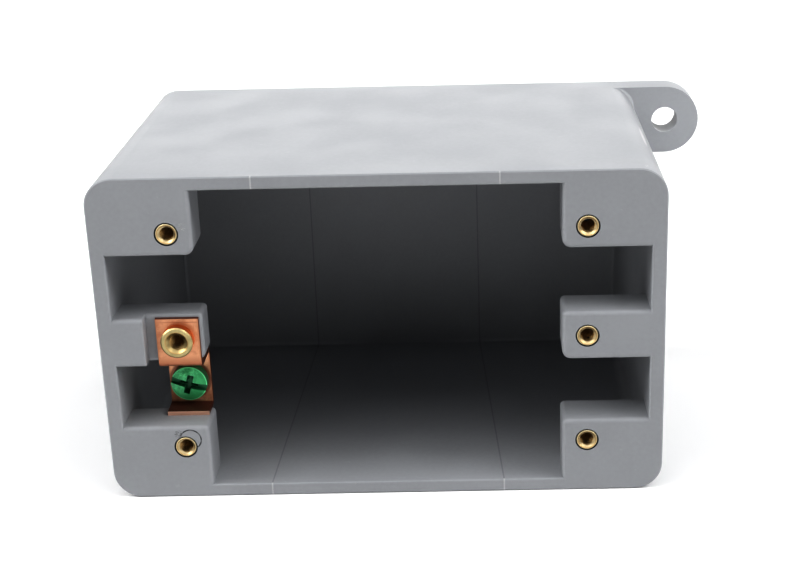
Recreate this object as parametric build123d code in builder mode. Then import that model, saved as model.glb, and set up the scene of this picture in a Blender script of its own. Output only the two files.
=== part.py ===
"""Deep device box: a moulded box with brass inserts at its mouth, a copper bonding strap and its screw.

The box lies on one long side. Its mouth faces -Y, its length runs along X and +Z is up. The origin is on the
floor, under the middle of the box. Sizes are in millimetres and angles in degrees.
"""

import os
from math import radians, tan

from build123d import *

# Shelves at the mouth, which carry the inserts
device_spacing = 83.34
cover_spacing = 46.8
middle_shelf_height = 10.4
shelf_side_land = 4.6
shelf_end_land = 5.1
shelf_depth = 9.5
shelf_upper_radius = 1.0
shelf_lower_radius = 1.8
shelf_front_radius = 0.9
shelf_back_radius = 0.35
shelf_root = 1.0

# Box walls
box_length = 114.8
box_height = 70.0
box_depth = 74.0
corner_radius = 5.8
end_wall = 3.0
side_wall = 2.7
back_wall = 2.7
core_corner_radius = 2.5
core_floor_radius = 0.8
rim_radius = 0.4
rim_chamfer = 0.25
outer_draft = 0.4
core_draft = 0.8

# Fixing lugs on the back
lug_radius = 7.95
lug_thickness = 6.4
lug_reach = 7.7
lug_hole_diameter = 6.1

# Brass inserts
insert_diameter = 4.3
insert_length = 7.4
insert_bore = 2.75
insert_mouth = 3.75
mouth_angle = 90.0
insert_tail_chamfer = 0.4
insert_clearance = 0.02
relief_diameter = 4.8
relief_depth = 0.7
screw_passage = 3.6

# Ground insert, whose collar stands on the strap
collar_diameter = 6.6
collar_chamfer = 0.3
collar_mouth = 4.6

# Copper bonding strap, folded from one strip
strap_width = 8.8
strap_thickness = 0.9
strap_bend_radius = 0.6
strap_side_gap = 2.1
strap_top_land = 0.65
strap_web_gap = 0.3
step_depth = 3.0
step_edge_radius = 0.3
plate_setback = 1.3
flange_reach = 5.2

# Bonding screw
screw_head_diameter = 7.6
screw_head_height = 3.0
screw_rim_height = 2.2
screw_rise = 5.0
screw_turn = -16.0
slot_width = 1.4
slot_depth = 1.5
cross_span = 4.4
cross_width = 1.4
cross_depth = 2.1
cross_taper = 10.0
shank_diameter = 4.0
shank_length = 9.5
shank_chamfer = 0.5
thread_clearance = 0.05

# Places that follow from the sizes above, measured from the middle of the mouth
column = device_spacing / 2
row = cover_spacing / 2
opening_length = box_length - 2 * end_wall
opening_height = box_height - 2 * side_wall
shelf_end = column - shelf_end_land
shelf_side = row - shelf_side_land
root_end = opening_length / 2 + shelf_root
root_side = opening_height / 2 + shelf_root
shelf_half_height = middle_shelf_height / 2
draft_inset = box_depth * tan(radians(outer_draft))
lug_axis_x = box_length / 2 - draft_inset + lug_reach
lug_axis_z = box_height / 2 - draft_inset - lug_radius
lug_root_x = box_length / 2 - corner_radius
step_start = column + strap_width / 2 + strap_side_gap
plate_depth = shelf_depth + plate_setback
screw_axis_z = screw_rise + strap_thickness - shelf_side

mouth = Plane(origin=(0, -box_depth / 2, box_height / 2), x_dir=(1, 0, 0), z_dir=(0, -1, 0))
insert_places = {
    "insert_top_left": (-column, row),
    "insert_top_right": (column, row),
    "insert_middle_right": (column, 0),
    "insert_bottom_left": (-column, -row),
    "insert_bottom_right": (column, -row),
}


def inside(depth):
    """Plane parallel to the mouth, that far inside the box and facing out of it."""
    return mouth.offset(-depth)


def at_mouth(x, z):
    """Plane of the mouth, with its origin moved to one insert's axis."""
    return Plane(origin=mouth.from_local_coords((x, z, 0)), x_dir=mouth.x_dir, z_dir=mouth.z_dir)


def is_free(x, z):
    """True for a place inside the walls, measured from the middle of the mouth."""
    return abs(x) < opening_length / 2 and abs(z) < opening_height / 2


def free_corners(sketch):
    """Corners of a sketch that stand free of the walls."""
    return sketch.vertices().filter_by(lambda corner: is_free(corner.X, corner.Y))


def free_edges(face):
    """Edges of a face that stand free of the walls."""
    return face.edges().filter_by(lambda edge: is_free(edge.center().X, edge.center().Z - box_height / 2))


def shelf(front_depth, end_x, low_z, high_z):
    """Block that runs out of the walls to one end, with rounded corners and edges where it stands free."""
    with BuildPart() as block:
        with BuildSketch(inside(front_depth)) as outline:
            with Locations((end_x, low_z)):
                Rectangle(
                    root_end - abs(end_x),
                    high_z - low_z,
                    align=(Align.MIN if end_x > 0 else Align.MAX, Align.MIN),
                )
            if high_z < opening_height / 2:
                fillet(free_corners(outline).group_by(Axis.Y)[-1], shelf_upper_radius)
            if low_z > -opening_height / 2:
                fillet(free_corners(outline).group_by(Axis.Y)[0], shelf_lower_radius)
        extrude(amount=front_depth - shelf_depth)
        fillet(free_edges(block.faces().sort_by(Axis.Y)[0]), shelf_front_radius)
        fillet(free_edges(block.faces().sort_by(Axis.Y)[-1]), shelf_back_radius)
    return block.part


os.makedirs("parts", exist_ok=True)

# Shelves: one in each corner of the mouth, and two in the middle of its ends
shelves = [shelf(0, side * shelf_end, shelf_side, root_side) for side in (1, -1)]
shelves += [shelf(0, side * shelf_end, -root_side, -shelf_side) for side in (1, -1)]
shelves.append(shelf(0, shelf_end, -shelf_half_height, shelf_half_height))
shelves.append(shelf(step_depth, -shelf_end, -shelf_half_height, shelf_half_height))

# Raised end of the ground shelf, level with the mouth, beside the step where the strap lies
with BuildPart() as raised_end:
    with BuildSketch(mouth):
        with Locations((-step_start, 0)):
            Rectangle(root_end - step_start, middle_shelf_height, align=(Align.MAX, Align.CENTER))
    extrude(amount=-step_depth - shelf_front_radius)
    front = raised_end.faces().sort_by(Axis.Y)[0]
    fillet(front.edges().filter_by(Axis.X), shelf_front_radius)
    step_wall = raised_end.faces().sort_by(Axis.X)[-1]
    fillet(step_wall.edges().group_by(Axis.Y)[0], step_edge_radius)

# The box, moulded in one piece
with BuildPart() as box_body:
    # Outer walls, which narrow towards the back so that the box leaves its mould
    with BuildSketch(mouth):
        RectangleRounded(box_length, box_height, corner_radius)
    extrude(amount=-box_depth, taper=outer_draft)

    # Two lugs in opposite corners, each flush with the back and with one long side
    with BuildSketch(inside(box_depth)):
        for side in (1, -1):
            with Locations((side * lug_axis_x, side * lug_axis_z)):
                Circle(lug_radius)
            with Locations((side * (lug_root_x + lug_axis_x) / 2, side * lug_axis_z)):
                Rectangle(lug_axis_x - lug_root_x, 2 * lug_radius)
    extrude(amount=lug_thickness)
    with BuildSketch(inside(box_depth)):
        with Locations((lug_axis_x, lug_axis_z), (-lug_axis_x, -lug_axis_z)):
            Circle(lug_hole_diameter / 2)
    extrude(amount=lug_thickness, mode=Mode.SUBTRACT)

    # Hollow, which also narrows towards the back
    with BuildSketch(mouth):
        RectangleRounded(opening_length, opening_height, core_corner_radius)
    extrude(amount=back_wall - box_depth, taper=core_draft, mode=Mode.SUBTRACT)
    hollow_floor = box_body.faces().filter_by(Axis.Y).sort_by(Axis.Y)[-2]
    fillet(hollow_floor.edges(), core_floor_radius)

    # Soft edges of the rim
    rim = box_body.faces().filter_by(Axis.Y).sort_by(Axis.Y)[0]
    fillet(rim.inner_wires()[0].edges(), rim_radius)
    rim = box_body.faces().filter_by(Axis.Y).sort_by(Axis.Y)[0]
    chamfer(rim.outer_wire().edges(), rim_chamfer)

    # Shelves, and the seats in them: a relief round each flush insert, its hole and the screw's passage
    add(shelves)
    add(raised_end.part)
    with BuildSketch(mouth):
        with Locations(*insert_places.values()):
            Circle(relief_diameter / 2)
    extrude(amount=-relief_depth, mode=Mode.SUBTRACT)
    seat_diameter = insert_diameter + 2 * insert_clearance
    for diameter, depth in ((seat_diameter, insert_length), (screw_passage, shelf_depth)):
        with BuildSketch(mouth):
            with GridLocations(device_spacing, row, 2, 3):
                Circle(diameter / 2)
        extrude(amount=-depth, mode=Mode.SUBTRACT)
box_body.part.label = "box_body"
export_step(box_body.part, "parts/box_body.step")

# Brass inserts, flush with the mouth
for name, place in insert_places.items():
    with BuildPart(at_mouth(*place)) as insert:
        Cylinder(insert_diameter / 2, insert_length, align=(Align.CENTER, Align.CENTER, Align.MAX))
        chamfer(insert.edges().sort_by(Axis.Y)[-1], insert_tail_chamfer)
        CounterSinkHole(insert_bore / 2, insert_mouth / 2, counter_sink_angle=mouth_angle)
    insert.part.label = name
    export_step(insert.part, f"parts/{name}.step")

# Ground insert: the stem passes through the strap and the collar clamps it
with BuildPart(at_mouth(-column, 0)) as ground_insert:
    Cylinder(collar_diameter / 2, step_depth - strap_thickness, align=(Align.CENTER, Align.CENTER, Align.MAX))
    chamfer(ground_insert.edges().sort_by(Axis.Y)[0], collar_chamfer)
    Cylinder(insert_diameter / 2, insert_length, align=(Align.CENTER, Align.CENTER, Align.MAX))
    chamfer(ground_insert.edges().sort_by(Axis.Y)[-1], insert_tail_chamfer)
    CounterSinkHole(insert_bore / 2, collar_mouth / 2, counter_sink_angle=mouth_angle)
ground_insert.part.label = "ground_insert"
export_step(ground_insert.part, "parts/ground_insert.step")

# Bonding strap: a tab on the step, a web under the shelf, a plate behind it and a flange on the shelf below
strap_section = Plane(origin=mouth.from_local_coords((-column, 0, 0)), x_dir=(0, 1, 0), z_dir=(1, 0, 0))
half_strip = strap_thickness / 2
tab_line = step_depth - half_strip
web_line = -shelf_half_height - strap_web_gap - half_strip
plate_line = plate_depth + half_strip
flange_line = half_strip - shelf_side
with BuildPart() as ground_strap:
    with BuildSketch(strap_section):
        with BuildLine():
            FilletPolyline(
                (tab_line, shelf_half_height - strap_top_land),
                (tab_line, web_line),
                (plate_line, web_line),
                (plate_line, flange_line),
                (plate_depth - flange_reach, flange_line),
                radius=strap_bend_radius + half_strip,
            )
        trace(line_width=strap_thickness)
    extrude(amount=strap_width / 2, both=True)
    with BuildSketch(at_mouth(-column, 0)):
        Circle(insert_diameter / 2 + insert_clearance)
    extrude(amount=-step_depth, mode=Mode.SUBTRACT)
    with BuildSketch(inside(plate_depth)):
        with Locations((-column, screw_axis_z)):
            Circle(shank_diameter / 2 + thread_clearance)
    extrude(amount=-strap_thickness, mode=Mode.SUBTRACT)
ground_strap.part.label = "ground_strap"
export_step(ground_strap.part, "parts/ground_strap.step")

# Bonding screw: a domed head with a slot and a cross recess, seated on the strap's plate
screw_seat = inside(plate_depth).from_local_coords((-column, screw_axis_z, 0))
screw_profile = Plane(origin=screw_seat, x_dir=(1, 0, 0), z_dir=(0, 0, -1))
head_top = plate_depth - screw_head_height
with BuildPart() as ground_screw:
    with BuildSketch(screw_profile):
        with BuildLine():
            shank = Polyline(
                (0, screw_head_height),
                (0, -shank_length),
                (shank_diameter / 2 - shank_chamfer, -shank_length),
                (shank_diameter / 2, shank_chamfer - shank_length),
                (shank_diameter / 2, 0),
                (screw_head_diameter / 2, 0),
                (screw_head_diameter / 2, screw_rim_height),
            )
            TangentArc(shank @ 0, shank @ 1, tangent=(1, 0))
        make_face()
    revolve(axis=Axis(screw_seat, (0, 1, 0)))
    with BuildSketch(inside(head_top)):
        with Locations((-column, screw_axis_z)):
            Rectangle(screw_head_diameter, slot_width, rotation=screw_turn)
    extrude(amount=-slot_depth, mode=Mode.SUBTRACT)
    with BuildSketch(inside(head_top)):
        with Locations((-column, screw_axis_z)):
            Rectangle(cross_span, cross_width, rotation=screw_turn)
            Rectangle(cross_width, cross_span, rotation=screw_turn)
    extrude(amount=-cross_depth, taper=cross_taper, mode=Mode.SUBTRACT)
ground_screw.part.label = "ground_screw"
export_step(ground_screw.part, "parts/ground_screw.step")
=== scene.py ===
"""Finishes and fine detail of a deep device box.

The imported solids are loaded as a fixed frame, in metres, with the box's mouth towards -Y. Each operator
finishes or models one group of pieces: the grey moulding, the roots of its lugs, the threaded brass inserts,
the copper strap and the green screw. The last one sets up the studio.
"""

from math import ceil, cos, pi, radians, sin, tan

import bpy
from bpy.props import FloatProperty, FloatVectorProperty, IntProperty, PointerProperty
from mathutils import Matrix, Vector


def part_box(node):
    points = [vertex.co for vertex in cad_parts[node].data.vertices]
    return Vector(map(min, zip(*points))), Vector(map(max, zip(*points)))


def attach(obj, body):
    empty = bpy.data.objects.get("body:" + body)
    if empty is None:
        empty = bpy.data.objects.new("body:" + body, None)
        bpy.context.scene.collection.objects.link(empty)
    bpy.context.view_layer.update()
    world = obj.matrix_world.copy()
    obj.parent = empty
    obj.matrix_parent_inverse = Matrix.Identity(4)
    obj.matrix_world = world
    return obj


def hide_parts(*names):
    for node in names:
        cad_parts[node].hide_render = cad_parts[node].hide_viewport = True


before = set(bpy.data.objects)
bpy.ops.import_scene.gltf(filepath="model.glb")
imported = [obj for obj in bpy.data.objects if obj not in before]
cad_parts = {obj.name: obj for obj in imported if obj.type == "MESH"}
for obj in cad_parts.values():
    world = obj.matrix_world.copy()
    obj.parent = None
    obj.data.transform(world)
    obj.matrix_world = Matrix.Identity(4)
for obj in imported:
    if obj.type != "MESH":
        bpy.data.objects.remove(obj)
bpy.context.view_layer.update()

bl_info = {
    "name": "Device Box Finishes",
    "version": (1, 0, 0),
    "blender": (4, 5, 0),
    "location": "View3D > Sidebar > Device Box",
    "description": "Finishes the packed device box and sets up its studio",
    "category": "Object",
}

MM = 0.001
TINY = 0.001 * MM
SOFT_BORDER = 0.1 * MM
SMOOTH_ANGLE = radians(35)
CORNER_STEPS = 96
SENSOR_WIDTH = 36.0
INSERTS = [
    "insert_top_left",
    "insert_top_right",
    "insert_middle_right",
    "insert_bottom_left",
    "insert_bottom_right",
]

# Forms of the threads, as shares of the pitch and of the depth
TAP_FORM = ((0, 0), (0.25, 0), (0.56, 1), (0.69, 1), (1, 0))
RIDGE_FORM = ((0, 0), (0.4, 1), (0.52, 1), (0.92, 0), (0, 0))

# Settings that like properties share
SIZE = {"unit": "LENGTH", "precision": 6}
PLACE = {"subtype": "TRANSLATION", "unit": "LENGTH"}
COLOUR = {"subtype": "COLOR", "min": 0, "max": 1}
SHARE = {"subtype": "FACTOR", "min": 0, "max": 1}
ANGLE = {"subtype": "ANGLE"}
ANGLES = {"subtype": "EULER", "unit": "ROTATION", "size": 2}


def middle(node):
    """Middle of a node's box."""
    low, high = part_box(node)
    return (low + high) / 2


# Modelling

def select(piece):
    """Makes one object the only selected one."""
    bpy.ops.object.select_all(action="DESELECT")
    piece.select_set(True)
    bpy.context.view_layer.objects.active = piece


def profile(name, points):
    """Chain of edges through places given as radius and length along Y, drawn out from one vertex."""
    bpy.ops.object.select_all(action="DESELECT")
    bpy.ops.mesh.primitive_plane_add(size=MM)
    piece = bpy.context.object
    piece.name = name
    places = [Vector((radius, along, 0)) for radius, along in points]
    bpy.ops.object.mode_set(mode="EDIT")
    bpy.ops.mesh.merge(type="CENTER")
    bpy.ops.transform.translate(value=places[0])
    for start, end in zip(places, places[1:]):
        bpy.ops.mesh.extrude_region_move(TRANSFORM_OT_translate={"value": end - start})
    bpy.ops.object.mode_set(mode="OBJECT")
    return piece


def thread_outline(form, pitch, base, peak):
    """Places of one turn of a thread, as radius and length, from its form and its two radii."""
    return [(base + depth * (peak - base), along * pitch) for along, depth in form]


def merge(piece):
    """Joins doubled vertices and turns all faces outwards."""
    select(piece)
    bpy.ops.object.mode_set(mode="EDIT")
    bpy.ops.mesh.select_all(action="SELECT")
    bpy.ops.mesh.remove_doubles(threshold=TINY)
    bpy.ops.mesh.normals_make_consistent(inside=False)
    bpy.ops.object.mode_set(mode="OBJECT")


def apply(piece, modifier):
    """Applies a modifier and cleans the mesh that it leaves."""
    select(piece)
    bpy.ops.object.modifier_apply(modifier=modifier.name)
    merge(piece)


def turn(piece, steps, turns=1, pitch=0.0):
    """Turns a profile about the Y axis, moving on by the pitch in each turn."""
    modifier = piece.modifiers.new("Turn", "SCREW")
    modifier.axis = "Y"
    modifier.angle = 2 * pi
    modifier.steps = modifier.render_steps = steps
    modifier.iterations = turns
    modifier.screw_offset = pitch
    apply(piece, modifier)


def close_ends(piece):
    """Closes the open ends of a helix, each with a fan of faces."""
    select(piece)
    bpy.ops.object.mode_set(mode="EDIT")
    bpy.ops.mesh.select_all(action="DESELECT")
    bpy.ops.mesh.select_non_manifold(extend=False, use_wire=False, use_multi_face=False,
                                     use_non_contiguous=False, use_verts=False)
    bpy.ops.mesh.extrude_region_move(TRANSFORM_OT_translate={"value": (0, 0, 0)})
    bpy.ops.mesh.merge(type="COLLAPSE")
    bpy.ops.object.mode_set(mode="OBJECT")
    merge(piece)


def cut(piece, cutter):
    """Cuts one closed shape out of another and removes it."""
    modifier = piece.modifiers.new("Cut", "BOOLEAN")
    modifier.operation = "DIFFERENCE"
    modifier.solver = "EXACT"
    modifier.object = cutter
    apply(piece, modifier)
    bpy.data.objects.remove(cutter)


def copy_of(model, name):
    """Copy of a piece with its own mesh, selected."""
    select(model)
    bpy.ops.object.duplicate(linked=False)
    piece = bpy.context.object
    piece.name = name
    return piece


def finished(piece, place, body, material):
    """Moves a piece made at the origin to its place, and gives it its body, slot, material and shading."""
    select(piece)
    piece.location = place
    bpy.ops.object.transform_apply(location=True, rotation=False, scale=False)
    bpy.ops.object.shade_smooth_by_angle(angle=SMOOTH_ANGLE)
    piece.data.materials.clear()
    piece.data.materials.append(material)
    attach(piece, body)


def tapped(look, name, outline, mouth_radius):
    """Turned insert with its front at the origin, tapped right through and countersunk at the front."""
    insert = profile(name, outline)
    turn(insert, look.turn_steps)
    length = max(along for radius, along in outline)
    groove = thread_outline(TAP_FORM, look.pitch, look.bore / 2, look.root / 2)
    tap = profile("tap", [(radius, along - look.pitch) for radius, along in groove])
    spare_turns = 2
    turn(tap, look.turn_steps, ceil(length / look.pitch) + spare_turns, look.pitch)
    close_ends(tap)
    cut(insert, tap)
    clear, rise = look.edge_break, tan(look.mouth_slope)
    cone = [(0, -clear), (mouth_radius + clear * rise, -clear), (0, mouth_radius / rise)]
    countersink = profile("countersink", cone)
    turn(countersink, look.turn_steps)
    cut(insert, countersink)
    return insert


def lug_root(look):
    """Hollow radius round the box's corner and down its end, with that corner's axis at the origin."""
    corner, radius, sunk = look.corner_radius, look.root_radius, look.root_sunk
    edge = corner + radius
    headings = [pi / 2 * (1 + step / look.root_steps) for step in range(look.root_steps + 1)]
    hollow = [(edge + radius * cos(heading), radius * sin(heading) - radius) for heading in headings]
    start = (edge, sunk)
    root = profile("lug_root", [start, *hollow, (corner - sunk, -radius), (corner - sunk, sunk), start])
    merge(root)
    turn(root, CORNER_STEPS)
    bpy.ops.object.mode_set(mode="EDIT")
    for height, outwards in ((0, (-1, 0, 0)), (look.lug_top, (0, 0, 1)), (0, (0, 0, -1))):
        bpy.ops.mesh.select_all(action="SELECT")
        bpy.ops.mesh.bisect(plane_co=(0, 0, height), plane_no=outwards, use_fill=True, clear_outer=True,
                            threshold=TINY)
    down = (0, 0, look.lug_top - look.lug_height)
    bpy.ops.mesh.extrude_region_move(TRANSFORM_OT_translate={"value": down})
    bpy.ops.object.mode_set(mode="OBJECT")
    merge(root)
    return root


# Shader nodes

def new_material(name):
    """Empty material with a shader and its output, and the tree that holds them."""
    material = bpy.data.materials.new(name)
    material.use_nodes = True
    tree = material.node_tree
    tree.nodes.clear()
    shader = tree.nodes.new("ShaderNodeBsdfPrincipled")
    output = tree.nodes.new("ShaderNodeOutputMaterial")
    tree.links.new(shader.outputs["BSDF"], output.inputs["Surface"])
    return material, tree, shader


def put(tree, socket, value):
    """Links a socket to another node's output, or sets it to a plain value."""
    if isinstance(value, bpy.types.NodeSocket):
        tree.links.new(value, socket)
    else:
        socket.default_value = value


def math_node(tree, operation, first, second=0.0, third=0.0):
    """Result of one arithmetic step."""
    node = tree.nodes.new("ShaderNodeMath")
    node.operation = operation
    for socket, value in zip(node.inputs, (first, second, third)):
        put(tree, socket, value)
    return node.outputs[0]


def product(tree, first, *others):
    """Product of several values."""
    for value in others:
        first = math_node(tree, "MULTIPLY", first, value)
    return first


def greatest(tree, first, *others):
    """Greatest of several values."""
    for value in others:
        first = math_node(tree, "MAXIMUM", first, value)
    return first


def vector_node(tree, operation, first, second=(0, 0, 0)):
    """Result of one step on vectors: a number for a length or a dot product, and else a vector."""
    node = tree.nodes.new("ShaderNodeVectorMath")
    node.operation = operation
    tree.links.new(first, node.inputs[0])
    node.inputs[1].default_value = second
    return node.outputs["Value" if operation in ("LENGTH", "DOT_PRODUCT") else "Vector"]


def split_axes(tree, vector):
    """The three parts of a vector."""
    node = tree.nodes.new("ShaderNodeSeparateXYZ")
    tree.links.new(vector, node.inputs["Vector"])
    return node.outputs[:]


def object_place(tree, centre=(0, 0, 0), stretch=(1, 1, 1)):
    """Object coordinates measured from a centre and stretched along each axis."""
    coordinates = tree.nodes.new("ShaderNodeTexCoord")
    mapping = tree.nodes.new("ShaderNodeMapping")
    mapping.vector_type = "POINT"
    mapping.inputs["Location"].default_value = [-c * s for c, s in zip(centre, stretch)]
    mapping.inputs["Scale"].default_value = stretch
    tree.links.new(coordinates.outputs["Object"], mapping.inputs["Vector"])
    return mapping.outputs["Vector"]


def flat_length(tree, place):
    """Distance of a place from its centre, seen along Y."""
    return vector_node(tree, "LENGTH", vector_node(tree, "MULTIPLY", place, (1, 0, 1)))


def noise(tree, place, size, detail=2.0, roughness=0.5):
    """Cloudy pattern whose blotches are about the given size, in metres."""
    node = tree.nodes.new("ShaderNodeTexNoise")
    node.inputs["Scale"].default_value = 1 / size
    node.inputs["Detail"].default_value = detail
    node.inputs["Roughness"].default_value = roughness
    tree.links.new(place, node.inputs["Vector"])
    return node.outputs["Fac"]


def ramp(tree, value, low, high, to_low=0.0, to_high=1.0):
    """Value carried smoothly from one range to another and held at both ends."""
    node = tree.nodes.new("ShaderNodeMapRange")
    node.interpolation_type = "SMOOTHSTEP"
    for name, number in zip(("From Min", "From Max", "To Min", "To Max"), (low, high, to_low, to_high)):
        node.inputs[name].default_value = number
    put(tree, node.inputs["Value"], value)
    return node.outputs["Result"]


def below(tree, value, limit, border=SOFT_BORDER):
    """Mask of where a value is under a limit."""
    return ramp(tree, value, limit - border, limit, 1.0, 0.0)


def above(tree, value, limit, border=SOFT_BORDER):
    """Mask of where a value is over a limit."""
    return ramp(tree, value, limit - border, limit)


def stripe(tree, value, centre, inner, outer, strength=1.0):
    """Mask of a stripe about one value, full to its inner half width and gone at its outer one."""
    aside = math_node(tree, "ABSOLUTE", math_node(tree, "SUBTRACT", value, centre))
    return ramp(tree, aside, inner, outer, strength, 0.0)


def spot(tree, place, size):
    """Mask of a soft spot round a place's centre."""
    return ramp(tree, vector_node(tree, "LENGTH", place), size / 2, size, 1.0, 0.0)


def mix_colour(tree, factor, first, second):
    """Colour between two colours."""
    node = tree.nodes.new("ShaderNodeMix")
    node.data_type = "RGBA"
    put(tree, node.inputs["Factor"], factor)
    put(tree, node.inputs["A"], first if isinstance(first, bpy.types.NodeSocket) else (*first, 1))
    put(tree, node.inputs["B"], second if isinstance(second, bpy.types.NodeSocket) else (*second, 1))
    return node.outputs["Result"]


def bump(tree, height, depth, under=None):
    """Normal of a surface raised by a height pattern, on top of another bumped normal."""
    node = tree.nodes.new("ShaderNodeBump")
    node.inputs["Strength"].default_value = 1.0
    node.inputs["Distance"].default_value = depth
    tree.links.new(height, node.inputs["Height"])
    if under is not None:
        tree.links.new(under, node.inputs["Normal"])
    return node.outputs["Normal"]


def dress(node, material):
    """Gives a node one material all over."""
    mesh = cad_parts[node].data
    mesh.materials.clear()
    mesh.materials.append(material)


# Finishes

def at_mouth(tree):
    """Mask of the first millimetre behind the mouth's face."""
    return below(tree, split_axes(tree, object_place(tree))[1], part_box("box_body")[0].y + 1 * MM)


def scored_arc(tree, look):
    """Mask of the arc scored on the mouth's face beside the bottom left insert."""
    place = object_place(tree, look.score_centre)
    width = look.score_width
    line = stripe(tree, flat_length(tree, place), look.score_radius, width / 2, width)
    heading = (cos(look.score_heading), 0, sin(look.score_heading))
    open_side = look.score_radius * cos(look.score_span / 2)
    span = ramp(tree, vector_node(tree, "DOT_PRODUCT", place, heading), open_side - width, open_side + width)
    patch = 0.8 * MM
    uneven = ramp(tree, noise(tree, object_place(tree), patch, detail=1.0), 0.3, 0.6, 0.65, 1.0)
    return product(tree, line, span, uneven, at_mouth(tree))


def scuffs(tree, look, places):
    """Mask of small scuffs: broken streaks within a short way of each place."""
    streak = 0.45 * MM
    pattern = noise(tree, object_place(tree, stretch=(1, 1, 2.5)), streak, roughness=0.7)
    near = greatest(tree, *(spot(tree, object_place(tree, centre), look.scuff_and_glint_size) for centre in places))
    return product(tree, ramp(tree, pattern, 0.52, 0.6), near)


def seat_shade(tree, look):
    """Mask of painted shade in the grooves round the flush inserts."""
    places = [object_place(tree, middle(name)) for name in INSERTS]
    border = SOFT_BORDER / 5
    seats = [below(tree, flat_length(tree, place), look.seat_radius, border) for place in places]
    return product(tree, greatest(tree, *seats), at_mouth(tree))


def parting_lines(tree, look):
    """Masks of the two lines where the parts of the mould met, first on the rim and then round the hollow."""
    low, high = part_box("box_body")
    x, y, z = split_axes(tree, object_place(tree))
    behind = math_node(tree, "SUBTRACT", y, low.y)
    lines = []
    for front_x, back_x in zip(look.parting_front, look.parting_back):
        lean = (back_x - front_x) / (high.y - low.y)
        line_x = math_node(tree, "MULTIPLY_ADD", behind, lean, front_x)
        lines.append(stripe(tree, x, line_x, look.parting_width / 4, look.parting_width / 2))
    both = greatest(tree, *lines)
    rim = below(tree, behind, look.rim_reach + SOFT_BORDER)
    half = (high.z - low.z) / 2 - look.outer_skin
    between_sides = stripe(tree, z, (low.z + high.z) / 2, half - SOFT_BORDER, half)
    before_back = below(tree, y, high.y - look.outer_skin)
    behind_rim = math_node(tree, "SUBTRACT", 1.0, rim)
    return product(tree, both, rim), product(tree, both, between_sides, before_back, behind_rim)


def moulded_grey(look):
    """Satin grey moulding with grain, clouds, flecks, parting lines, a scored arc, scuffs, a painted glint
    along the upper right corner and painted shade in the grooves round the flush inserts.
    """
    material, tree, shader = new_material("moulded_grey")
    place = object_place(tree)
    cloud = noise(tree, place, look.cloud_size, detail=3.0)
    speckle = noise(tree, place, look.speckle_size, detail=1.0)
    speckle_part = 0.35
    clouds = math_node(tree, "MULTIPLY", cloud, 1 - speckle_part)
    tone = math_node(tree, "MULTIPLY_ADD", speckle, speckle_part, clouds)
    light = [min(1.0, c * (1 + look.cloud_depth)) for c in look.colour]
    dark = [c * (1 - look.cloud_depth) for c in look.colour]
    colour = mix_colour(tree, ramp(tree, tone, 0.3, 0.7), dark, light)

    fleck = ramp(tree, noise(tree, place, look.fleck_size, roughness=0.65), 0.69, 0.75, 0.0, 0.12)
    # A pale streak stretched along the upper right corner: a painted glint.
    pale_mark = spot(tree, object_place(tree, look.glint_corner, look.glint_stretch), look.scuff_and_glint_size)
    # The scuffs and the painted glint share one mask, one colour and one bump.
    scuff = greatest(tree, scuffs(tree, look, (look.scuff_insert, look.scuff_rim)), pale_mark)
    score = greatest(tree, scored_arc(tree, look), scuffs(tree, look, (look.scuff_score,)))
    tick, seam = parting_lines(tree, look)
    for mask, strength, shade in (
        (tick, 0.9, look.parting_colour),
        (seam, 0.25, look.dust_and_shade_colour),
        # Pale flecks, scuffs and the painted glint along the corner
        (greatest(tree, fleck, scuff), 1.0, look.scuff_and_glint_colour),
        (score, 0.95, look.dust_and_shade_colour),
        # Painted shade in the grooves round the flush inserts
        (seat_shade(tree, look), 1.0, look.dust_and_shade_colour),
    ):
        colour = mix_colour(tree, product(tree, mask, strength), colour, shade)
    put(tree, shader.inputs["Base Color"], colour)

    smooth, rough = look.roughness - 0.05, look.roughness + 0.07
    put(tree, shader.inputs["Roughness"], ramp(tree, cloud, 0.25, 0.75, smooth, rough))
    shader.inputs["Specular IOR Level"].default_value = 0.4
    grain = bump(tree, noise(tree, place, look.grain_size), look.grain_depth)
    ripple = bump(tree, noise(tree, place, look.ripple_size, detail=1.0), look.ripple_depth, grain)
    raised = math_node(tree, "SUBTRACT", greatest(tree, scuff, tick), score)
    put(tree, shader.inputs["Normal"], bump(tree, raised, look.score_depth, ripple))
    return material


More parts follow.
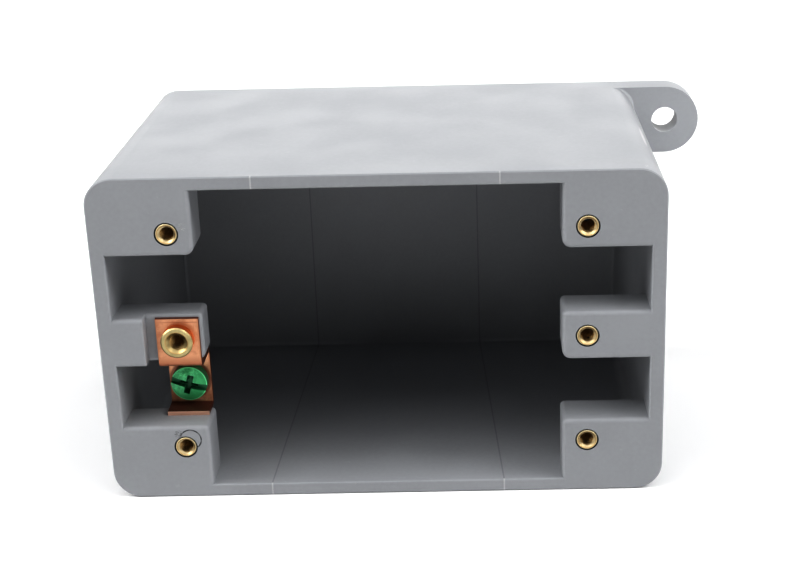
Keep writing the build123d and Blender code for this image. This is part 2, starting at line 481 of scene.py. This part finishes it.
def turned_brass(look, name, axis, colour, mouth_radius):
    """Turned brass with fine rings, with painted shade at the countersink's edge, in the countersink and
    deeper in the bore, and a painted copper reflection on the collar's side.
    """
    material, tree, shader = new_material(name)
    place = object_place(tree, axis)
    rings = tree.nodes.new("ShaderNodeTexWave")
    rings.wave_type = "RINGS"
    rings.rings_direction = "Y"
    rings.inputs["Scale"].default_value = look.ring_scale
    rings.inputs["Distortion"].default_value = 0.4
    tree.links.new(place, rings.inputs["Vector"])
    smear = noise(tree, place, look.smear_size)

    # Depths behind the face between which the painted shade in the bore and the painted copper reflection on
    # the collar's side begin
    shaded, reddish = (0.4 * MM, 1.2 * MM), (0.2 * MM, 0.5 * MM)
    inward, across = split_axes(tree, place)[1], flat_length(tree, place)
    # Painted shade, darker deeper in the bore
    deep = product(tree, ramp(tree, inward, *shaded), below(tree, across, look.bore_reach))
    # Painted reflection of the copper strap on the collar's side
    side = product(tree, ramp(tree, inward, *reddish), above(tree, across, look.collar_side))
    # Painted shade along the countersink's edge and in the countersink
    edge = stripe(tree, across, mouth_radius, look.edge_width / 4, look.edge_width / 2, look.edge_shade)
    sunk = ramp(tree, across, mouth_radius - look.edge_width / 2, mouth_radius, look.sunk_shade, 0.0)
    dull = [c * 0.8 for c in colour]
    face = mix_colour(tree, ramp(tree, smear, 0.35, 0.75), colour, dull)
    face = mix_colour(tree, side, face, look.copper_reflection)
    face = mix_colour(tree, greatest(tree, edge, sunk, deep), face, look.bore_shade_colour)
    put(tree, shader.inputs["Base Color"], face)

    smooth, rough = look.brass_roughness, look.brass_roughness + 0.14
    put(tree, shader.inputs["Roughness"], ramp(tree, smear, 0.3, 0.7, smooth, rough))
    shader.inputs["Metallic"].default_value = 1.0
    put(tree, shader.inputs["Normal"], bump(tree, rings.outputs["Fac"], look.ring_depth))
    return material


def rolled_copper(look):
    """Rolled copper strip with fine lines, blotches, a press mark and a darker band at its bend, with painted
    shade on its cut edges, on its foot's top and round the screw's head, and a painted highlight on its
    foot's front edge.
    """
    material, tree, shader = new_material("rolled_copper")
    low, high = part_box("ground_strap")
    half = (high.x - low.x) / 2
    place = object_place(tree, ((low.x + high.x) / 2, 0, high.z))
    across, along = split_axes(tree, place)[::2]
    normal = tree.nodes.new("ShaderNodeTexCoord").outputs["Normal"]
    facing_x, facing_y, facing_z = split_axes(tree, normal)
    from_foot = math_node(tree, "ADD", along, high.z - low.z)
    lines = noise(tree, object_place(tree, stretch=(1, 0.06, 0.06)), look.line_size)
    tarnish = noise(tree, place, look.tarnish_size, detail=4.0, roughness=0.6)

    # Painted shade and a painted highlight on the strip
    at_foot = below(tree, from_foot, look.strip + SOFT_BORDER)
    # Painted shade on the top of the foot, under the screw's head
    tray_shade = product(tree, at_foot, ramp(tree, facing_z, 0.5, 0.9))
    # Painted highlight on the front edge of the foot
    lip_highlight = product(tree, at_foot, ramp(tree, facing_y, -0.9, -0.7, 1.0, 0.0))
    # Painted shade on the cut sides and the upper end
    shaded_cut_sides = ramp(tree, math_node(tree, "ABSOLUTE", facing_x), 0.7, 0.95)
    end_skin, wide_border = (-0.14 * MM, -0.06 * MM), 0.5 * MM
    shaded_cut_end = ramp(tree, along, *end_skin)
    from_screw = flat_length(tree, object_place(tree, middle("ground_screw")))
    # Painted shadow of the screw's head, a dark ring round it on the strap
    ring = ramp(tree, from_screw, look.ring, look.ring + wide_border, 0.85, 0.0)
    dark = greatest(tree, shaded_cut_sides, shaded_cut_end, tray_shade, ring)

    # Stains of its face, and a darker band at its bend
    border = ramp(tree, math_node(tree, "ABSOLUTE", across), half - look.border, half, 0.0, 0.8)
    press_half, bend_band = 0.05 * MM, 3 * MM
    press = stripe(tree, along, -look.press_line, press_half, press_half + SOFT_BORDER, 0.7)
    bend_end = -look.bend - bend_band
    bend = product(tree, ramp(tree, along, bend_end, -look.bend, 1.0, 0.0),
                   above(tree, along, bend_end, wide_border))
    blotches = ramp(tree, tarnish, 0.42, 0.72, 0.0, 0.8)
    stain = greatest(tree, blotches, border, press, bend, ramp(tree, lines, 0.55, 0.75, 0.0, 0.3))

    face = mix_colour(tree, stain, look.copper, look.tarnish)
    face = mix_colour(tree, dark, face, look.strap_shade)
    put(tree, shader.inputs["Base Color"], mix_colour(tree, lip_highlight, face, look.lip_highlight))
    smooth, rough = look.copper_roughness, look.copper_roughness + 0.15
    put(tree, shader.inputs["Roughness"], ramp(tree, tarnish, 0.3, 0.7, smooth, rough))
    shader.inputs["Metallic"].default_value = look.copper_metal
    put(tree, shader.inputs["Normal"], bump(tree, lines, look.line_depth))
    return material


def green_plating(look):
    """Green dyed plating with pale patches towards the upper left, a painted highlight round the head's rim,
    and painted shade in the recess and at the head's side.
    """
    material, tree, shader = new_material("green_plating")
    low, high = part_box("ground_screw")
    radius = (high.x - low.x) / 2
    place = object_place(tree, (low.x + radius, low.y, low.z + radius))
    x, inward, z = split_axes(tree, place)
    across = flat_length(tree, place)
    outwards = math_node(tree, "DIVIDE", across, radius)
    dome = product(tree, math_node(tree, "POWER", outwards, 2.0), look.dome)
    # Painted shade in the recess and on the head's side
    recess_depth = 0.15 * MM
    sunk = above(tree, math_node(tree, "SUBTRACT", inward, dome), recess_depth)
    dark = product(tree, sunk, below(tree, inward, look.head))

    pale_mark = noise(tree, place, look.pale_patch_size, detail=5.0, roughness=0.7)
    # Pale patches only towards the upper left
    upper_left = ramp(tree, math_node(tree, "SUBTRACT", x, z), -radius, radius, 1.0, 0.0)
    pale_green = product(tree, ramp(tree, pale_mark, 0.35, 0.65), upper_left)
    # Painted highlight round the rim of the head
    highlight_half, highlight_reach = 0.06 * MM, 0.14 * MM
    edge_highlight = stripe(tree, across, radius - SOFT_BORDER, highlight_half, highlight_reach, 0.8)
    colour = mix_colour(tree, greatest(tree, pale_green, edge_highlight), look.green, look.pale_green)
    put(tree, shader.inputs["Base Color"], mix_colour(tree, dark, colour, look.recess))
    smooth, rough, metal = 0.32, 0.5, 0.25
    put(tree, shader.inputs["Roughness"], ramp(tree, pale_mark, 0.3, 0.7, smooth, rough))
    shader.inputs["Metallic"].default_value = metal
    pit_size, pit_depth = 0.35 * MM, 0.012 * MM
    put(tree, shader.inputs["Normal"], bump(tree, noise(tree, place, pit_size), pit_depth))
    return material


def soft_lights(look):
    """World with large soft lights: above in front, at both sides down to low in front, and low behind."""
    world = bpy.data.worlds.new("soft_lights")
    world.use_nodes = True
    tree = world.node_tree
    x, y, z = split_axes(tree, tree.nodes.new("ShaderNodeTexCoord").outputs["Generated"])
    lean = math_node(tree, "ARCTAN2", math_node(tree, "MULTIPLY", y, -1.0), z)
    soft = radians(3)

    def band(low, high, strength):
        """Light of one strength between two leans."""
        rise = ramp(tree, lean, low - soft, low + soft, 0.0, strength)
        return math_node(tree, "SUBTRACT", rise, ramp(tree, lean, high - soft, high + soft, 0.0, strength))

    side = ramp(tree, math_node(tree, "ABSOLUTE", x), look.side_from - soft, look.side_from + soft)
    back = ramp(tree, lean, -look.back_lean - soft, -look.back_lean + soft, look.back_light, 0.0)
    between = math_node(tree, "ADD", band(*look.front_lean, look.front_light), back)
    light = product(tree, math_node(tree, "SUBTRACT", 1.0, side), between)
    low_sides = band(look.side_lean[1], pi / 2, look.low_light)
    sides = math_node(tree, "ADD", band(*look.side_lean, look.side_light), low_sides)
    light = math_node(tree, "MULTIPLY_ADD", side, sides, light)
    background = tree.nodes["Background"]
    background.inputs["Color"].default_value = (1, 1, 1, 1)
    put(tree, background.inputs["Strength"], math_node(tree, "ADD", light, look.room_light))
    return world


# Values that a user would change

class MouldingLook(bpy.types.PropertyGroup):
    """Look of the grey moulding and the roots of its lugs."""

    colour: FloatVectorProperty(
        name="Colour", description="Colour of the moulding", default=(0.325, 0.333, 0.349), **COLOUR
    )
    roughness: FloatProperty(
        name="Roughness", description="Roughness of the satin skin", default=0.42, **SHARE
    )
    cloud_size: FloatProperty(
        name="Cloud size", description="Size of the faint clouds in the colour", default=14 * MM, **SIZE
    )
    cloud_depth: FloatProperty(
        name="Cloud depth", description="Share by which the clouds change the colour", default=0.035, **SHARE
    )
    speckle_size: FloatProperty(
        name="Speckle size", description="Size of the fine specks in the colour", default=0.9 * MM, **SIZE
    )
    grain_size: FloatProperty(
        name="Grain size", description="Size of the skin's grain", default=0.35 * MM, **SIZE
    )
    grain_depth: FloatProperty(
        name="Grain depth", description="Height of the skin's grain", default=0.008 * MM, **SIZE
    )
    ripple_size: FloatProperty(
        name="Ripple size", description="Size of the shallow ripples of the walls", default=9 * MM, **SIZE
    )
    ripple_depth: FloatProperty(
        name="Ripple depth", description="Height of the shallow ripples", default=0.005 * MM, **SIZE
    )
    fleck_size: FloatProperty(
        name="Fleck size", description="Size of the pale flecks", default=1.6 * MM, **SIZE
    )
    # Also the colour of the painted glint along the upper right corner.
    scuff_and_glint_colour: FloatVectorProperty(
        name="Scuff colour", description="Colour of the flecks and scuffs", default=(0.5, 0.5, 0.5), **COLOUR
    )
    # Colour of the real dark marks and of the painted shade round the flush inserts.
    dust_and_shade_colour: FloatVectorProperty(
        name="Dust colour", description="Colour of the scored arc and the seats' grooves",
        default=(0.02, 0.02, 0.022), **COLOUR
    )
    # Also the reach of the painted glint along the upper right corner.
    scuff_and_glint_size: FloatProperty(
        name="Scuff size", description="Reach of each small scuff", default=1.0 * MM, **SIZE
    )
    scuff_insert: FloatVectorProperty(
        name="Scuff by the insert", description="Place of the scuff beside the top left insert",
        default=(-38.4 * MM, -37 * MM, 59.85 * MM), **PLACE
    )
    scuff_score: FloatVectorProperty(
        name="Smudge by the arc", description="Place of the dark smudge at the end of the scored arc",
        default=(-43.0 * MM, -37 * MM, 14.6 * MM), **PLACE
    )
    scuff_rim: FloatVectorProperty(
        name="Scuff on the side", description="Place of the scuff on the upper side",
        default=(53.6 * MM, -34.7 * MM, 69.9 * MM), **PLACE
    )
    # The pale streak along the upper right corner is a painted glint.
    glint_corner: FloatVectorProperty(
        name="Rubbed corner", description="Middle of the pale rub along the upper right corner",
        default=(55.2 * MM, -8.7 * MM, 68.45 * MM), **PLACE
    )
    # Narrowing of that painted glint along each axis.
    glint_stretch: FloatVectorProperty(
        name="Rub stretch", description="How many times the rub is narrower than a scuff along each axis",
        default=(1.7, 0.11, 1.7)
    )
    score_centre: FloatVectorProperty(
        name="Arc centre", description="Centre of the scored arc",
        default=(-40.6 * MM, -37 * MM, 13.25 * MM), **PLACE
    )
    score_radius: FloatProperty(
        name="Arc radius", description="Radius of the scored arc", default=2.2 * MM, **SIZE
    )
    score_width: FloatProperty(
        name="Arc width", description="Width of the scored arc", default=0.17 * MM, **SIZE
    )
    score_depth: FloatProperty(
        name="Arc depth", description="Depth of the scored arc", default=0.05 * MM, **SIZE
    )
    score_heading: FloatProperty(
        name="Arc heading", description="Direction of the arc's middle from its centre", default=radians(52),
        **ANGLE
    )
    score_span: FloatProperty(
        name="Arc span", description="Angle that the arc takes up", default=radians(210), **ANGLE
    )
    # The groove's darkness is painted shade.
    seat_radius: FloatProperty(
        name="Seat radius", description="Radius of the dark groove round each flush insert",
        default=2.42 * MM, **SIZE
    )
    parting_front: FloatVectorProperty(
        name="Parting at the mouth", description="Places along X of the two parting lines at the mouth",
        size=2, unit="LENGTH", default=(-24.3 * MM, 24.4 * MM)
    )
    parting_back: FloatVectorProperty(
        name="Parting at the back", description="Places along X of the two parting lines at the back",
        size=2, unit="LENGTH", default=(-21.0 * MM, 19.5 * MM)
    )
    parting_width: FloatProperty(
        name="Parting width", description="Width of the parting lines", default=0.42 * MM, **SIZE
    )
    parting_colour: FloatVectorProperty(
        name="Parting colour", description="Colour of the parting lines on the rim",
        default=(0.47, 0.47, 0.48), **COLOUR
    )
    rim_reach: FloatProperty(
        name="Rim reach", description="Depth of the rim, on which the parting lines are pale",
        default=0.3 * MM, **SIZE
    )
    root_radius: FloatProperty(
        name="Root radius", description="Radius where each lug grows out of the box", default=0.6 * MM,
        **SIZE
    )
    root_sunk: FloatProperty(
        name="Root sunk", description="Depth to which that radius is let into the box", default=0.2 * MM,
        **SIZE
    )
    root_steps: IntProperty(name="Root steps", description="Faces across that radius", default=8)
    root_axis: FloatVectorProperty(
        name="Root axis", description="Axis of the box's corner at the right lug's face",
        default=(51.6 * MM, 30.6 * MM, 64.2 * MM), **PLACE
    )
    corner_radius: FloatProperty(
        name="Corner radius", description="Radius of the box's corners at the lugs", default=5.328 * MM,
        **SIZE
    )
    lug_top: FloatProperty(
        name="Lug top", description="Height of the lug's long side over that axis", default=5.283 * MM,
        **SIZE
    )
    lug_height: FloatProperty(name="Lug height", description="Height of a lug", default=15.9 * MM, **SIZE)
    outer_skin: FloatProperty(
        name="Outer skin", description="Depth from the outside in which the parting lines are polished off",
        default=1.3 * MM, **SIZE
    )


class MetalLook(bpy.types.PropertyGroup):
    """Look of the inserts, the strap and the screw."""

    brass: FloatVectorProperty(
        name="Brass", description="Colour of the inserts", default=(0.60, 0.53, 0.35), **COLOUR
    )
    # A darker copy of the inserts' brass: painted shade on the ground insert.
    collar: FloatVectorProperty(
        name="Collar", description="Colour of the ground insert", default=(0.47, 0.40, 0.22), **COLOUR
    )
    # Painted reflection of the copper strap, shown on the collar's side.
    copper_reflection: FloatVectorProperty(
        name="Blush", description="Colour of the collar's side, red from the copper under it",
        default=(0.85, 0.33, 0.12), **COLOUR
    )
    # Beyond this radius the collar's side gets the painted copper reflection.
    collar_side: FloatProperty(
        name="Collar side", description="Radius beyond which the collar is reddish", default=3.2 * MM, **SIZE
    )
    brass_roughness: FloatProperty(
        name="Brass roughness", description="Least roughness of the inserts", default=0.27, **SHARE
    )
    ring_scale: FloatProperty(name="Ring scale", description="Density of the turning marks", default=2600.0)
    ring_depth: FloatProperty(
        name="Ring depth", description="Height of the turning marks", default=0.0006 * MM, **SIZE
    )
    # Painted shade of the bore, the countersinks and their edges.
    bore_shade_colour: FloatVectorProperty(
        name="Bore colour", description="Colour of the oily thread inside the inserts",
        default=(0.46, 0.30, 0.13), **COLOUR
    )
    # Radius within which the bore gets the painted shade.
    bore_reach: FloatProperty(
        name="Bore reach", description="Radius within which the thread is oily", default=1.9 * MM, **SIZE
    )
    edge_width: FloatProperty(
        name="Edge width", description="Width of the dark edge of the countersinks", default=0.3 * MM, **SIZE
    )
    edge_shade: FloatProperty(name="Edge shade", description="How dark that edge is", default=0.7, **SHARE)
    # Share of painted shade in the countersinks.
    sunk_shade: FloatProperty(
        name="Countersink shade", description="How oily the countersinks are", default=0.25, **SHARE
    )
    smear_size: FloatProperty(
        name="Smear size", description="Size of the dull patches on the brass", default=1.4 * MM, **SIZE
    )
    copper: FloatVectorProperty(
        name="Copper", description="Colour of the strap", default=(0.70, 0.40, 0.245), **COLOUR
    )
    tarnish: FloatVectorProperty(
        name="Tarnish", description="Colour of the strap's tarnish", default=(0.42, 0.18, 0.10), **COLOUR
    )
    # Painted shade on the strap's cut edges, its foot's top and round the screw's head.
    strap_shade: FloatVectorProperty(
        name="Sheared edge", description="Colour of the strap's cut edges", default=(0.22, 0.09, 0.06),
        **COLOUR
    )
    copper_roughness: FloatProperty(
        name="Copper roughness", description="Least roughness of the strap", default=0.36, **SHARE
    )
    copper_metal: FloatProperty(
        name="Copper metal", description="Share of the strap that is bare of its dull skin", default=0.75,
        **SHARE
    )
    strip: FloatProperty(name="Strip", description="Thickness of the strap", default=0.9 * MM, **SIZE)
    # Painted highlight on the front edge of the strap's foot.
    lip_highlight: FloatVectorProperty(
        name="Lip", description="Colour of the bright end of the strap", default=(0.95, 0.60, 0.45), **COLOUR
    )
    # That dark ring is a painted shadow of the screw's head.
    ring: FloatProperty(
        name="Ring", description="Radius of the dark ring that the screw has rubbed", default=4.2 * MM,
        **SIZE
    )
    # Where the darker band at the strap's bend begins, from the strap's upper end.
    bend: FloatProperty(
        name="Bend", description="Distance from the strap's upper end at which the stain at its bend begins",
        default=7.5 * MM, **SIZE
    )
    border: FloatProperty(
        name="Border", description="Width of the darker border along the strap", default=0.5 * MM, **SIZE
    )
    press_line: FloatProperty(
        name="Press line", description="Distance of the press mark from the strap's upper end",
        default=0.8 * MM, **SIZE
    )
    line_size: FloatProperty(
        name="Line size", description="Spacing of the rolling lines", default=0.18 * MM, **SIZE
    )
    line_depth: FloatProperty(
        name="Line depth", description="Height of the rolling lines", default=0.003 * MM, **SIZE
    )
    tarnish_size: FloatProperty(
        name="Tarnish size", description="Size of the tarnished blotches", default=4 * MM, **SIZE
    )
    green: FloatVectorProperty(
        name="Green", description="Colour of the screw", default=(0.05, 0.36, 0.14), **COLOUR
    )
    # Colour of the pale patches and of the painted highlight round the head's rim.
    pale_green: FloatVectorProperty(
        name="Rubbed green", description="Colour of the screw where it is rubbed",
        default=(0.23, 0.88, 0.44), **COLOUR
    )
    # Painted shade in the recess and at the side of the screw's head.
    recess: FloatVectorProperty(
        name="Recess", description="Colour of the screw in its recess and at its side",
        default=(0.022, 0.17, 0.075), **COLOUR
    )
    dome: FloatProperty(name="Dome", description="Rise of the screw's domed head", default=0.8 * MM, **SIZE)
    head: FloatProperty(name="Head", description="Height of the screw's head", default=3.0 * MM, **SIZE)
    pale_patch_size: FloatProperty(
        name="Rub size", description="Size of the rubbed patches", default=2.2 * MM, **SIZE
    )


class ThreadLook(bpy.types.PropertyGroup):
    """Threads and turned edges of the inserts and the screw."""

    pitch: FloatProperty(name="Pitch", description="Pitch of the threads", default=0.794 * MM, **SIZE)
    bore: FloatProperty(
        name="Bore", description="Diameter of the inserts' bore, at the tops of its thread",
        default=2.75 * MM, **SIZE
    )
    root: FloatProperty(
        name="Root", description="Diameter at the bottoms of the inserts' thread", default=3.5 * MM, **SIZE
    )
    mouth: FloatProperty(
        name="Mouth", description="Diameter of the flush inserts' countersink", default=3.75 * MM, **SIZE
    )
    collar_mouth: FloatProperty(
        name="Collar mouth", description="Diameter of the ground insert's countersink", default=4.6 * MM,
        **SIZE
    )
    mouth_slope: FloatProperty(
        name="Mouth slope", description="Half angle of the inserts' countersinks", default=radians(45),
        **ANGLE
    )
    collar_chamfer: FloatProperty(
        name="Collar chamfer", description="Chamfer of the ground insert's collar", default=0.3 * MM, **SIZE
    )
    tail_chamfer: FloatProperty(
        name="Tail chamfer", description="Chamfer at the inner end of the inserts", default=0.4 * MM, **SIZE
    )
    edge_break: FloatProperty(
        name="Edge break", description="Small chamfer and clearance of turned edges", default=0.06 * MM,
        **SIZE
    )
    shank: FloatProperty(name="Shank", description="Diameter of the screw's shank", default=4.0 * MM, **SIZE)
    crest: FloatProperty(
        name="Crest", description="Diameter at the tops of the screw's thread", default=4.7 * MM, **SIZE
    )
    shank_tip: FloatProperty(
        name="Shank tip", description="Plain length at the screw's tip", default=0.6 * MM, **SIZE
    )
    turn_steps: IntProperty(name="Turn steps", description="Faces in one turn", default=48)


class StudioLook(bpy.types.PropertyGroup):
    """Camera, floor and light."""

    eye: FloatVectorProperty(
        name="Eye", description="Place of the camera", default=(20.53 * MM, -320.59 * MM, 155.91 * MM),
        **PLACE
    )
    pitch: FloatProperty(
        name="Pitch", description="How far the camera looks down", default=radians(20.343), **ANGLE
    )
    heading: FloatProperty(
        name="Heading", description="How far the camera turns to its left", default=radians(0.729), **ANGLE
    )
    roll: FloatProperty(
        name="Roll", description="How far the camera leans to its right", default=radians(1.375), **ANGLE
    )
    lens: FloatProperty(
        name="Lens", description="Focal length in millimetres on a sensor 36 mm wide", default=68.507
    )
    shift: FloatVectorProperty(
        name="Shift", description="Shift of the frame, as a share of its width", size=2,
        default=(-0.0793, -0.02806)
    )
    floor_colour: FloatVectorProperty(
        name="Floor", description="Colour of the floor", default=(0.9, 0.9, 0.9), **COLOUR
    )
    floor_size: FloatProperty(name="Floor size", description="Side of the floor", default=8.0, **SIZE)
    front_light: FloatProperty(
        name="Front light", description="Strength of the soft light above and in front", default=2.45
    )
    front_lean: FloatVectorProperty(
        name="Front lean", description="Lean of that light towards the camera, from and to",
        default=(radians(5), radians(35)), **ANGLES
    )
    side_light: FloatProperty(
        name="Side light", description="Strength of the soft lights at both sides", default=9.5
    )
    low_light: FloatProperty(
        name="Low light", description="Strength of the side lights further down, low in front", default=0.85
    )
    side_lean: FloatVectorProperty(
        name="Side lean", description="Lean of those lights towards the camera, from and to",
        default=(radians(-5), radians(25)), **ANGLES
    )
    side_from: FloatProperty(
        name="Side from", description="Slope along X from which the side lights begin", default=0.5
    )
    back_light: FloatProperty(
        name="Back light", description="Strength of the soft light low behind", default=2.25
    )
    back_lean: FloatProperty(
        name="Back lean", description="Lean away from the camera from which that light begins",
        default=radians(50), **ANGLE
    )
    room_light: FloatProperty(
        name="Room light", description="Strength of the light from all round", default=0.03
    )
    card_place: FloatVectorProperty(
        name="Card", description="Place of the small card that lights the lug",
        default=(150 * MM, -90 * MM, 45 * MM), **PLACE
    )
    card_aim: FloatVectorProperty(
        name="Card aim", description="Place that the card faces", default=(64.6 * MM, 30.6 * MM, 61.5 * MM),
        **PLACE
    )
    card_size: FloatProperty(name="Card size", description="Side of the card", default=40 * MM, **SIZE)
    card_spread: FloatProperty(
        name="Card spread", description="Angle into which the card shines", default=radians(40), **ANGLE
    )
    card_power: FloatProperty(
        name="Card power", description="Power of the card's light", unit="POWER", precision=6, default=0.006
    )
    contrast: FloatProperty(
        name="Contrast", description="Gamma of the view, lower for more contrast", default=0.7
    )


class DeviceBoxLook(bpy.types.PropertyGroup):
    """All values of the scene."""

    moulding: PointerProperty(type=MouldingLook, name="Moulding", description="Look of the grey moulding")
    metal: PointerProperty(type=MetalLook, name="Metal", description="Look of the metal pieces")
    thread: PointerProperty(type=ThreadLook, name="Threads", description="Threads and turned edges")
    studio: PointerProperty(type=StudioLook, name="Studio", description="Camera, floor and light")


# Operators

class DEVICEBOX_OT_box_body(bpy.types.Operator):
    """Gives the box its satin grey moulding"""

    bl_idname = "devicebox.box_body"
    bl_label = "Finish Box"

    def execute(self, context):
        dress("box_body", moulded_grey(context.scene.device_box.moulding))
        return {"FINISHED"}


class DEVICEBOX_OT_lug_roots(bpy.types.Operator):
    """Models the small radius where each of the two lugs grows out of the box"""

    bl_idname = "devicebox.lug_roots"
    bl_label = "Model Lug Roots"

    def execute(self, context):
        look = context.scene.device_box.moulding
        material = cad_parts["box_body"].data.materials[0]
        low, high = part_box("box_body")
        right = Vector(look.root_axis)
        left = Vector((low.x + high.x - right.x, right.y, low.z + high.z - right.z))
        model = lug_root(look)
        for name, place, heading in (("lug_root_right", right, 0.0), ("lug_root_left", left, pi)):
            root = copy_of(model, name)
            root.rotation_euler.y = heading
            bpy.ops.object.transform_apply(location=False, rotation=True, scale=False)
            finished(root, place, "box", material)
        bpy.data.objects.remove(model)
        return {"FINISHED"}


class DEVICEBOX_OT_inserts(bpy.types.Operator):
    """Turns and taps one flush brass insert and copies it to its five places"""

    bl_idname = "devicebox.inserts"
    bl_label = "Model Inserts"

    def execute(self, context):
        look, metal = context.scene.device_box.thread, context.scene.device_box.metal
        low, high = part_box(INSERTS[0])
        radius, length = (high.x - low.x) / 2, high.y - low.y
        front, tail = look.edge_break, look.tail_chamfer
        outline = [(0, 0), (radius - front, 0), (radius, front)]
        outline += [(radius, length - tail), (radius - tail, length), (0, length)]
        model = tapped(look, "tapped_insert", outline, look.mouth / 2)
        for name in INSERTS:
            insert = copy_of(model, f"tapped_{name}")
            place = middle(name)
            place.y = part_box(name)[0].y
            brass = turned_brass(metal, f"brass_{name}", place, metal.brass, look.mouth / 2)
            finished(insert, place, "box", brass)
            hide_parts(name)
        bpy.data.objects.remove(model)
        return {"FINISHED"}


class DEVICEBOX_OT_ground_insert(bpy.types.Operator):
    """Turns and taps the larger brass insert whose collar clamps the strap"""

    bl_idname = "devicebox.ground_insert"
    bl_label = "Model Ground Insert"

    def execute(self, context):
        look, metal = context.scene.device_box.thread, context.scene.device_box.metal
        low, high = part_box("ground_insert")
        stem_low, stem_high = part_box(INSERTS[0])
        collar, stem = (high.x - low.x) / 2, (stem_high.x - stem_low.x) / 2
        length, tail, edge = high.y - low.y, look.tail_chamfer, look.collar_chamfer
        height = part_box("ground_strap")[0].y - low.y
        outline = [(0, 0), (collar - edge, 0), (collar, edge), (collar, height), (stem, height)]
        outline += [(stem, length - tail), (stem - tail, length), (0, length)]
        insert = tapped(look, "tapped_ground_insert", outline, look.collar_mouth / 2)
        place = middle("ground_insert")
        place.y = low.y
        # The ground insert gets the darker copy of the brass, as painted shade
        brass = turned_brass(metal, "brass_ground_insert", place, metal.collar, look.collar_mouth / 2)
        finished(insert, place, "box", brass)
        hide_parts("ground_insert")
        return {"FINISHED"}


class DEVICEBOX_OT_ground_strap(bpy.types.Operator):
    """Gives the strap its rolled copper"""

    bl_idname = "devicebox.ground_strap"
    bl_label = "Finish Strap"

    def execute(self, context):
        dress("ground_strap", rolled_copper(context.scene.device_box.metal))
        return {"FINISHED"}


class DEVICEBOX_OT_ground_screw(bpy.types.Operator):
    """Gives the screw its green plating, and the thread on its shank behind the strap"""

    bl_idname = "devicebox.ground_screw"
    bl_label = "Thread Screw"

    def execute(self, context):
        look = context.scene.device_box.thread
        material = green_plating(context.scene.device_box.metal)
        dress("ground_screw", material)
        root, crest = look.shank / 2 - look.edge_break, look.crest / 2
        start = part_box("ground_strap")[1].y + look.edge_break
        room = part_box("ground_screw")[1].y - look.shank_tip - start
        thread = profile("screw_thread", thread_outline(RIDGE_FORM, look.pitch, root, crest))
        merge(thread)
        turn(thread, look.turn_steps, int(room / look.pitch) - 1, look.pitch)
        close_ends(thread)
        place = middle("ground_screw")
        place.y = start
        finished(thread, place, "screw", material)
        return {"FINISHED"}


class DEVICEBOX_OT_studio(bpy.types.Operator):
    """Adds the pale floor, the soft lights, the small card and the camera"""

    bl_idname = "devicebox.studio"
    bl_label = "Set Up Studio"

    def execute(self, context):
        look = context.scene.device_box.studio
        bpy.ops.object.select_all(action="DESELECT")
        bpy.ops.mesh.primitive_plane_add(size=look.floor_size)
        floor = context.object
        floor.name = "floor"
        material, _, shader = new_material("pale_floor")
        shader.inputs["Base Color"].default_value = (*look.floor_colour, 1)
        shader.inputs["Roughness"].default_value = 0.9
        shader.inputs["Specular IOR Level"].default_value = 0.1
        floor.data.materials.append(material)

        context.scene.world = soft_lights(look)
        bpy.ops.object.light_add(type="AREA", location=look.card_place)
        card = context.object
        card.name = "card"
        card.rotation_euler = (Vector(look.card_aim) - card.location).to_track_quat("-Z", "Y").to_euler()
        card.data.size = look.card_size
        card.data.spread = look.card_spread
        card.data.energy = look.card_power
        card.visible_camera = False

        bpy.ops.object.camera_add()
        camera = context.object
        camera.name = "camera"
        aim = Matrix.Rotation(look.heading, 4, "Z") @ Matrix.Rotation(pi / 2 - look.pitch, 4, "X")
        camera.matrix_world = Matrix.Translation(look.eye) @ aim @ Matrix.Rotation(-look.roll, 4, "Z")
        camera.data.lens = look.lens
        camera.data.sensor_width = SENSOR_WIDTH
        camera.data.shift_x, camera.data.shift_y = look.shift
        camera.data.clip_start = 1 * MM
        context.scene.camera = camera
        context.scene.view_settings.view_transform = "Standard"
        context.scene.view_settings.gamma = look.contrast
        return {"FINISHED"}


class DEVICEBOX_PT_sidebar(bpy.types.Panel):
    """Lists the operators"""

    bl_idname = "DEVICEBOX_PT_sidebar"
    bl_label = "Device Box"
    bl_space_type = "VIEW_3D"
    bl_region_type = "UI"
    bl_category = "Device Box"

    def draw(self, context):
        for operator in OPERATORS:
            self.layout.operator(operator.bl_idname)


OPERATORS = [
    DEVICEBOX_OT_box_body,
    DEVICEBOX_OT_lug_roots,
    DEVICEBOX_OT_inserts,
    DEVICEBOX_OT_ground_insert,
    DEVICEBOX_OT_ground_strap,
    DEVICEBOX_OT_ground_screw,
    DEVICEBOX_OT_studio,
]
CLASSES = [MouldingLook, MetalLook, ThreadLook, StudioLook, DeviceBoxLook, *OPERATORS, DEVICEBOX_PT_sidebar]


def register():
    for cls in CLASSES:
        bpy.utils.register_class(cls)
    bpy.types.Scene.device_box = PointerProperty(type=DeviceBoxLook)


def unregister():
    del bpy.types.Scene.device_box
    for cls in reversed(CLASSES):
        bpy.utils.unregister_class(cls)


def main():
    """Runs all operators in turn."""
    register()
    bpy.ops.devicebox.box_body()
    bpy.ops.devicebox.lug_roots()
    bpy.ops.devicebox.inserts()
    bpy.ops.devicebox.ground_insert()
    bpy.ops.devicebox.ground_strap()
    bpy.ops.devicebox.ground_screw()
    bpy.ops.devicebox.studio()


if __name__ == "__main__":
    main()
